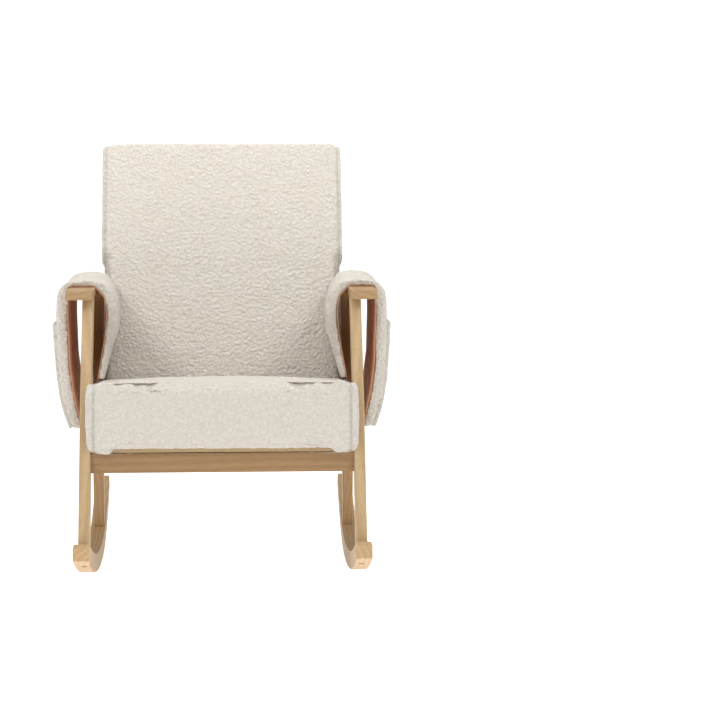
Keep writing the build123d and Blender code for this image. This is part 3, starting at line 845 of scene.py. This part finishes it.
class CHAIR_OT_back(bpy.types.Operator):
    """Back cushion: a raked box with boxing seams, squeezed between the side frames"""
    bl_idname = "chair.back"
    bl_label = "Back cushion"

    def execute(self, context):
        cushion = settings().cushion
        body = settings().body
        slack = cushion.slack
        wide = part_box("back_cover")[1].x
        narrow = body.back_narrow
        length, thick = body.back_length, body.back_thick

        def outline(start, stop):
            corners = ((start, slack), (stop, slack), (stop, thick - slack), (start, thick - slack))
            return [back_place(0, up, deep) for up, deep in corners]

        bm = bmesh.new()
        prism(bm, outline(slack, length - slack), slack - narrow, narrow - slack)
        prism(bm, outline(body.back_squeeze + slack, length - slack), slack - wide, wide - slack)
        obj = object_from("back_cushion", bm)
        remesh(obj, cushion.voxel, rounds=9, corner=0.014)
        swell(obj, cap=slack + 0.0005)
        corners = [(-wide, *back_place(0, 0, 0)[1:]), (wide, *back_place(0, length, thick)[1:])]
        stretch(obj, *box_along(corners, body.recline), body.recline)
        foot = back_place(0, 0, 0)
        settle(obj, (-wide, 0, 0), (wide, thick, length), body.recline, foot)
        self.squeeze(obj, narrow, body.back_squeeze)
        self.crown(obj, length, wide)
        refine(obj)
        self.seams(obj, cushion, thick, length)
        raise_pile(obj, seed=2)
        material = fleece_material("back_fleece", warmth=0.05, seam=cushion.back_seam)
        finish_piece(obj, CHAIR, material, ["back_cover", "back_foam", "back_rear_panel"])
        return {"FINISHED"}

    def squeeze(self, obj, narrow, stop):
        """Keeps the lower part between the side frames."""
        points = coordinates(obj.data)
        lower = in_back(points)[0] < stop
        outside = (np.abs(points[:, 0]) > narrow - 0.012) & lower
        points[outside, 0] = np.sign(points[outside, 0]) * np.minimum(
            narrow, np.abs(points[outside, 0]) + 0.003)
        set_coordinates(obj.data, points)

    def crown(self, obj, length, half):
        points = coordinates(obj.data)
        up, deep = in_back(points)
        recline = settings().body.recline
        across = np.clip(1 - (points[:, 0] / half) ** 4, 0, 1)
        lengthways = np.clip(np.sin(np.clip(up / length, 0, 1) * np.pi), 0, 1) ** 0.5
        front = np.clip(1 - deep / 0.03, 0, 1) * across * lengthways
        points[:, 1] -= 0.009 * front * math.cos(recline)
        points[:, 2] += 0.009 * front * math.sin(recline)
        set_coordinates(obj.data, points)

    def seams(self, obj, cushion, thick, length):
        points = coordinates(obj.data)
        up, deep = in_back(points)
        for side in SIDES.values():
            off = np.abs(points[:, 0] - side * cushion.back_seam)
            sink(obj, off + (deep > 0.02) * 1.0, cushion.seam_depth * 0.8, cushion.seam_width)
        points = coordinates(obj.data)
        up, deep = in_back(points)
        rear = np.abs(deep - (thick - 0.006))
        inside = (np.abs(points[:, 0]) < cushion.back_seam - 0.01) & (up > 0.02) & (up < length - 0.02)
        sink(obj, rear + inside * 1.0, cushion.seam_depth * 0.7, cushion.seam_width)


# ---- the armrest covers ----

def slice_mesh(obj, axis, step):
    """Cuts a mesh by evenly spaced planes, so that it can bend."""
    bm = bmesh.new()
    bm.from_mesh(obj.data)
    places = [v.co[axis] for v in bm.verts]
    normal = Vector((0, 0, 0))
    normal[axis] = 1
    for place in np.arange(min(places) + step, max(places), step):
        geometry = bm.verts[:] + bm.edges[:] + bm.faces[:]
        bmesh.ops.bisect_plane(bm, geom=geometry, plane_co=normal * place, plane_no=normal)
    bm.to_mesh(obj.data)
    bm.free()


def draw_in_rear(obj, side, most=0.013):
    """Moves the rear of a cover's inner flap towards the leg, so that it narrows to the rear."""
    low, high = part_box(f"{side}_cover_pad")
    points = coordinates(obj.data)
    inner = np.clip((0.283 - SIDES[side] * points[:, 0]) / 0.03, 0, 1)
    rearwards = np.clip((points[:, 1] - low.y) / (high.y - low.y), 0, 1)
    points[:, 0] += SIDES[side] * most * inner * rearwards
    set_coordinates(obj.data, points)


class CHAIR_OT_covers(bpy.types.Operator):
    """Armrest covers: a thick fleece saddle, its tan lining, partly painted warm shade, and a patch pocket
    on each side
    """
    bl_idname = "chair.covers"
    bl_label = "Armrest covers"

    def execute(self, context):
        material = fleece_material("cover_fleece")
        lining = lining_and_shade_material()
        thread = plain_cloth("cream_thread", (0.80, 0.71, 0.58), 1500.0)
        for index, side in enumerate(SIDES):
            self.pad(side, index, material)
            self.lining(side, index, lining)
            self.pocket(side, index, material, thread)
        return {"FINISHED"}

    def pad(self, side, index, material):
        obj = cad_copy(f"{side}_cover_pad", f"{side}_cover_padding")
        remesh(obj, 0.005, rounds=8)
        low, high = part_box(f"{side}_cover_pad")
        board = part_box(f"{side}_armrest")
        middle = (board[0].x + board[1].x) / 2
        points, facing = coordinates(obj.data), normals(obj.data)
        inward = facing[:, 0] * np.sign(middle - points[:, 0]) > -0.1
        beneath = (points[:, 2] < board[1].z) & inward
        swell(obj, cap=0.004, pressure=2.0, still=beneath | (facing[:, 2] < -0.2))
        points = coordinates(obj.data)
        # slow waves along the armrest, where the saddle is pulled over the board
        wave = np.array([noise.noise(Vector((0, p[1] * 9, p[2] * 5 + index * 7))) for p in points])
        crown = np.clip((points[:, 2] - (high.z - 0.06)) / 0.06, 0, 1)
        points[:, 2] += 0.003 * wave * crown
        swing = np.clip((high.z - points[:, 2]) / (high.z - low.z), 0, 1)
        points[:, 0] += SIDES[side] * 0.003 * wave * swing
        set_coordinates(obj.data, points)
        draw_in_rear(obj, side)
        refine(obj)
        raise_pile(obj, seed=5 + index)
        finish_piece(obj, f"{side}_armrest_cover", material, [f"{side}_cover_pad"])

    def lining(self, side, index, material):
        obj = cad_copy(f"{side}_cover_lining", f"{side}_cover_lining_cloth")
        slice_mesh(obj, 1, 0.009)
        slice_mesh(obj, 2, 0.009)
        points = coordinates(obj.data)
        folds = np.array([noise.noise(Vector((index * 3, p[1] * 30, p[2] * 12))) for p in points])
        points[:, 0] += 0.0007 * folds
        set_coordinates(obj.data, points)
        draw_in_rear(obj, side)
        finish_piece(obj, f"{side}_armrest_cover", material, [f"{side}_cover_lining"])

    def pocket(self, side, index, material, thread):
        obj = cad_copy(f"{side}_cover_pocket", f"{side}_patch_pocket")
        remesh(obj, 0.0026, rounds=4)
        low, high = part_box(f"{side}_cover_pocket")
        points = coordinates(obj.data)
        middle = (low.y + high.y) / 2
        half = (high.y - low.y) / 2
        across = np.clip(1 - ((points[:, 1] - middle) / half) ** 2, 0, 1)
        upright = np.clip((points[:, 2] - low.z) / (high.z - low.z), 0, 1)
        points[:, 0] += SIDES[side] * 0.003 * across * upright
        points[:, 2] -= 0.005 * across * upright ** 6
        set_coordinates(obj.data, points)
        raise_pile(obj, seed=9 + index, scale=0.8)
        finish_piece(obj, f"{side}_armrest_cover", material, [f"{side}_cover_pocket"])
        self.hem(side, obj, thread)

    def hem(self, side, pocket, thread):
        """A row of stitches under the pocket's mouth."""
        points = coordinates(pocket.data)
        low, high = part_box(f"{side}_cover_pocket")
        top = points[:, 2].max() - 0.014
        line = []
        for y in np.arange(low.y + 0.012, high.y - 0.010, 0.008):
            near = points[(np.abs(points[:, 1] - y) < 0.004) & (np.abs(points[:, 2] - top) < 0.004)]
            out = near[np.argmax(near[:, 0] * SIDES[side])]
            line.append((out[0] - SIDES[side] * 0.0002, y, top))
        stitches = row_of(f"{side}_pocket_stitches", [line], 0.006, 0.0021, 0.0006, thread)
        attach(stitches, f"{side}_armrest_cover")


# ---- under the seat ----

class CHAIR_OT_underside(bpy.types.Operator):
    """Cloth stapled under the seat, sagging a little"""
    bl_idname = "chair.underside"
    bl_label = "Underside"

    def execute(self, context):
        low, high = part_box("seat_dust_cover")
        width = high.x - low.x
        across, lengthways = 40, 30
        bm = bmesh.new()
        rows = []
        for j in range(lengthways + 1):
            row = []
            for i in range(across + 1):
                u, v = i / across, j / lengthways
                sag = 0.006 * math.sin(math.pi * u) * math.sin(math.pi * v)
                ripple = 0.0008 * noise.noise(Vector((u * 9, v * 7, 0)))
                z = high.z - 0.0008 - (high.z - low.z - 0.001) * v - sag + ripple
                row.append(bm.verts.new((low.x + width * u, low.y + (high.y - low.y) * v, z)))
            rows.append(row)
        for lower, upper in zip(rows, rows[1:]):
            for i in range(across):
                bm.faces.new((lower[i], upper[i], upper[i + 1], lower[i + 1]))
        obj = object_from("dust_cloth_sheet", bm)
        with_modifier(obj, "SOLIDIFY", thickness=0.0006, offset=0)
        finish_piece(obj, CHAIR, dust_material(), ["seat_dust_cover"])
        steel = steel_material("staple_wire", (0.55, 0.55, 0.56), 0.35)
        inset = 0.010
        corners = [(low.x + inset, 0), (high.x - inset, 0), (high.x - inset, 1), (low.x + inset, 1)]
        loop = []
        for x, v in corners + corners[:1]:
            y = low.y + inset + (high.y - low.y - 2 * inset) * v
            share = (y - low.y) / (high.y - low.y)
            loop.append((x, y, high.z - 0.0016 - (high.z - low.z - 0.001) * share))
        staples = row_of("underside_staples", [loop], 0.035, 0.0045, 0.0006, steel)
        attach(staples, CHAIR)
        return {"FINISHED"}


# ---- wood and hardware ----

class CHAIR_OT_wood(bpy.types.Operator):
    """Grain and colour of every board"""
    bl_idname = "chair.wood"
    bl_label = "Wood"

    def execute(self, context):
        quarter = math.pi / 2
        lean = math.radians(25)
        kinds = {
            "leg_wood": ((lean, 0, 0), 1.0, 0.0, ["front_leg"]),
            # painted shade: the rear legs are darker and redder because they stand in shade
            "rear_leg_wood": ((math.radians(12), 0, 0.7), 0.8, 0.9, ["rear_leg"]),
            "runner_wood": ((quarter, 0, 0.4), 1.05, 0.3, ["runner"]),
            "armrest_wood": ((quarter, 0, 1.9), 0.82, 0.5, ["armrest"]),
            "side_rail_wood": ((quarter, 0, 2.6), 0.9, 0.4, ["side_rail", "seat_cleat"]),
        }
        for name, (turn, tone_and_shade, warm, boards) in kinds.items():
            material = wood_material(name, turn, tone_and_shade, warm)
            for board in boards:
                for side in SIDES:
                    paint(f"{side}_{board}", material)
        # painted shade: the rails are darker and redder because they stand in the seat's shadow
        rail = wood_material("rail_wood_painted_shade", (0, quarter, 0), 0.66, 0.9)
        for name in ("front_rail", "rear_rail"):
            paint(name, rail)
        inner = wood_material("inner_wood", (0, quarter, 0.5), 0.9)
        for name in sorted(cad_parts):
            if any(word in name for word in ("frame", "post", "blocks", "board", "dowels")):
                paint(name, inner)
        return {"FINISHED"}


def paint(name, material):
    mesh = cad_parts[name].data
    mesh.materials.clear()
    mesh.materials.append(material)


class CHAIR_OT_hardware(bpy.types.Operator):
    """Screws, bolts, washers, nuts and webbing"""
    bl_idname = "chair.hardware"
    bl_label = "Hardware"

    def execute(self, context):
        black = steel_material("black_steel", (0.07, 0.065, 0.06), 0.45)
        bright = steel_material("zinc_steel", (0.55, 0.55, 0.56), 0.35)
        for name in ("runner_screws", "rail_bolts", "back_bolts"):
            paint(name, black)
        for name in ("back_washers", "rail_barrel_nuts", "cleat_screws", "seat_screws"):
            paint(name, bright)
        paint("back_webbing", plain_cloth("webbing_cloth", (0.06, 0.06, 0.065), 500.0))
        return {"FINISHED"}


# ---- the stage ----

class CHAIR_OT_stage(bpy.types.Operator):
    """Pale floor, soft lights and the camera"""
    bl_idname = "chair.stage"
    bl_label = "Stage"

    def execute(self, context):
        stage = settings().stage
        low, high = CAD_BOX
        self.floor(low.z)
        self.world(stage.fill)
        middle = (low + high) / 2
        self.light("key", (-1.9, -1.5, 3.0), middle, 1.4, 44.0)
        self.light("fill", (1.9, -1.5, 3.0), middle, 1.4, 38.0)
        self.light("top", (0.0, 0.3, 3.2), middle, 1.8, 40.0)
        self.camera(stage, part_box("left_runner")[0].y)
        context.scene.view_settings.view_transform = "Standard"
        return {"FINISHED"}

    def floor(self, height):
        bpy.ops.mesh.primitive_plane_add(size=30, location=(0, 0, height))
        floor = bpy.context.object
        floor.name = "floor"
        material, _, shader = new_material("pale_floor")
        shader.inputs["Base Color"].default_value = (0.8, 0.8, 0.8, 1)
        shader.inputs["Emission Color"].default_value = (1, 1, 1, 1)
        shader.inputs["Emission Strength"].default_value = 0.85
        shader.inputs["Roughness"].default_value = 0.9
        shader.inputs["Specular IOR Level"].default_value = 0.1
        floor.data.materials.append(material)

    def world(self, strength):
        world = bpy.data.worlds.new("soft_studio")
        world.use_nodes = True
        background = world.node_tree.nodes["Background"]
        background.inputs["Color"].default_value = (1, 1, 1, 1)
        rays = node(world.node_tree, "ShaderNodeLightPath")
        seen = maths(world.node_tree, "MULTIPLY", rays.outputs["Is Camera Ray"], 1.1 - strength)
        total = maths(world.node_tree, "ADD", seen, strength)
        world.node_tree.links.new(total, background.inputs["Strength"])
        bpy.context.scene.world = world

    def light(self, name, place, target, size, power):
        data = bpy.data.lights.new(name, "AREA")
        data.shape = "DISK"
        data.size = size
        data.energy = power
        light = bpy.data.objects.new(name, data)
        bpy.context.scene.collection.objects.link(light)
        light.location = place
        light.rotation_euler = (target - Vector(place)).to_track_quat("-Z", "Y").to_euler()

    def camera(self, stage, front):
        data = bpy.data.cameras.new("camera")
        data.sensor_width = 36.0
        data.lens = stage.lens
        camera = bpy.data.objects.new("camera", data)
        bpy.context.scene.collection.objects.link(camera)
        camera.location = (stage.sideways, front - stage.distance, stage.height)
        camera.rotation_euler = Euler((math.pi / 2 - stage.pitch, 0, -stage.yaw))
        bpy.context.scene.camera = camera


# ---- panel and registration ----

class CHAIR_PT_panel(bpy.types.Panel):
    """Lists the chair's pieces"""
    bl_label = "Rocking nursery chair"
    bl_idname = "CHAIR_PT_panel"
    bl_space_type = "VIEW_3D"
    bl_region_type = "UI"
    bl_category = "Chair"

    def draw(self, context):
        for operator in OPERATORS:
            self.layout.operator(operator.bl_idname)


OPERATORS = (CHAIR_OT_stage, CHAIR_OT_seat, CHAIR_OT_back, CHAIR_OT_covers, CHAIR_OT_underside,
             CHAIR_OT_wood, CHAIR_OT_hardware)
GROUPS_OF_SETTINGS = (FleeceSettings, CushionSettings, BodySettings, WoodSettings, StageSettings,
                      ChairSettings)


def register():
    for kind in GROUPS_OF_SETTINGS + OPERATORS + (CHAIR_PT_panel,):
        bpy.utils.register_class(kind)
    bpy.types.Scene.nursery_chair = bpy.props.PointerProperty(type=ChairSettings)


def unregister():
    del bpy.types.Scene.nursery_chair
    for kind in reversed(GROUPS_OF_SETTINGS + OPERATORS + (CHAIR_PT_panel,)):
        bpy.utils.unregister_class(kind)


def main():
    register()
    bpy.ops.chair.stage()
    bpy.ops.chair.seat()
    bpy.ops.chair.back()
    bpy.ops.chair.covers()
    bpy.ops.chair.underside()
    bpy.ops.chair.wood()
    bpy.ops.chair.hardware()


if __name__ == "__main__":
    main()
